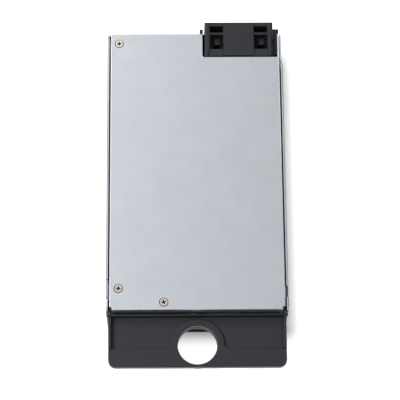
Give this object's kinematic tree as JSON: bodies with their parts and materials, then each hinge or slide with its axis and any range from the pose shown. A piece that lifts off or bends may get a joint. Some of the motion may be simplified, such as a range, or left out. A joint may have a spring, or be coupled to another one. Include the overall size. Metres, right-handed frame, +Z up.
{
  "type": "hot swap server power supply",
  "caption": "Flat server power supply module with a folded steel case, a black pull handle with a finger hole, and a blind-mate output connector at the rear.",
  "frame": {"origin": "centre of the case's flat bottom face", "axes": "+Z up through the lid, +Y towards the rear end with the output connector, +X to the right seen from the handle end"},
  "size_m": [0.1025, 0.2046, 0.0404],
  "materials": {
    "case_steel": "zinc-plated sheet, satin",
    "screw_nickel": "nickel plated",
    "bezel_black": "fine moulded texture",
    "inlet_black": "moulded, satin",
    "contact_nickel": "nickel plated brass",
    "fan_black": "moulded, satin",
    "shaft_steel": "ground",
    "motor_copper": "enamelled wire",
    "light_pipe_clear": "clear moulded",
    "led_white": "moulded",
    "insulator_film": "rolled film",
    "board_green": "solder resist",
    "chip_black": "moulded epoxy",
    "connector_black": "moulded, satin",
    "contact_gold": "gold flashed",
    "busbar_copper": "tinned copper",
    "fuse_ceramic": "glazed",
    "ferrite_grey": "sintered",
    "film_yellow": "moulded box",
    "relay_white": "moulded box",
    "sleeve_black": "shrunk sleeve",
    "heatsink_aluminium": "extruded"
  },
  "bodies": {
    "supply": {"base_chassis": "case_steel", "bezel_screws": "screw_nickel", "board_screws": "screw_nickel", "board_standoffs": "screw_nickel", "boost_choke_core": "ferrite_grey", "boost_choke_winding": "motor_copper", "bridge_rectifier": "chip_black", "bulk_capacitor": "sleeve_black", "control_board": "board_green", "control_chips": "chip_black", "cover_screws": "screw_nickel", "fan_bearings": "shaft_steel", "fan_frame": "fan_black", "fan_screws": "screw_nickel", "fan_stator": "motor_copper", "front_bezel": "bezel_black", "handle_screws": "screw_nickel", "inlet_housing": "inlet_black", "inlet_pins": "contact_nickel", "insulator_sheet": "insulator_film", "latch_clip": "shaft_steel", "latch_pin": "shaft_steel", "latch_spring": "shaft_steel", "line_choke_windings": "motor_copper", "line_chokes": "ferrite_grey", "line_fuse": "fuse_ceramic", "main_board": "board_green", "output_busbars": "busbar_copper", "output_capacitors": "sleeve_black", "output_choke": "ferrite_grey", "output_connector": "connector_black", "power_contacts": "contact_gold", "power_transistors": "chip_black", "primary_heatsink": "heatsink_aluminium", "pull_handle": "bezel_black", "rectifier_transistors": "chip_black", "relay": "relay_white", "secondary_heatsink": "heatsink_aluminium", "signal_contacts": "contact_gold", "status_led": "led_white", "status_light": "light_pipe_clear", "top_cover": "case_steel", "transformer_core": "ferrite_grey", "transformer_winding": "film_yellow", "x_capacitors": "film_yellow", "y_capacitors": "fuse_ceramic"},
    "impeller": {"fan_rotor": "fan_black", "fan_shaft": "shaft_steel"},
    "latch": {"release_latch": "bezel_black"}
  },
  "joints": [
    {"name": "fan_spin", "type": "hinge", "parent": "supply", "child": "impeller", "pos_m": [0.0151, -0.0668, 0.0202], "axis": [0, 1, 0], "continuous": true},
    {"name": "latch_press", "type": "hinge", "parent": "supply", "child": "latch", "pos_m": [0.044, -0.06, 0.015], "axis": [0, 0, -1], "range_deg": [0, 7], "stiffness_Nm_per_rad": 0.4, "springref_deg": -3.44, "deforming": ["latch_spring"]}
  ]
}
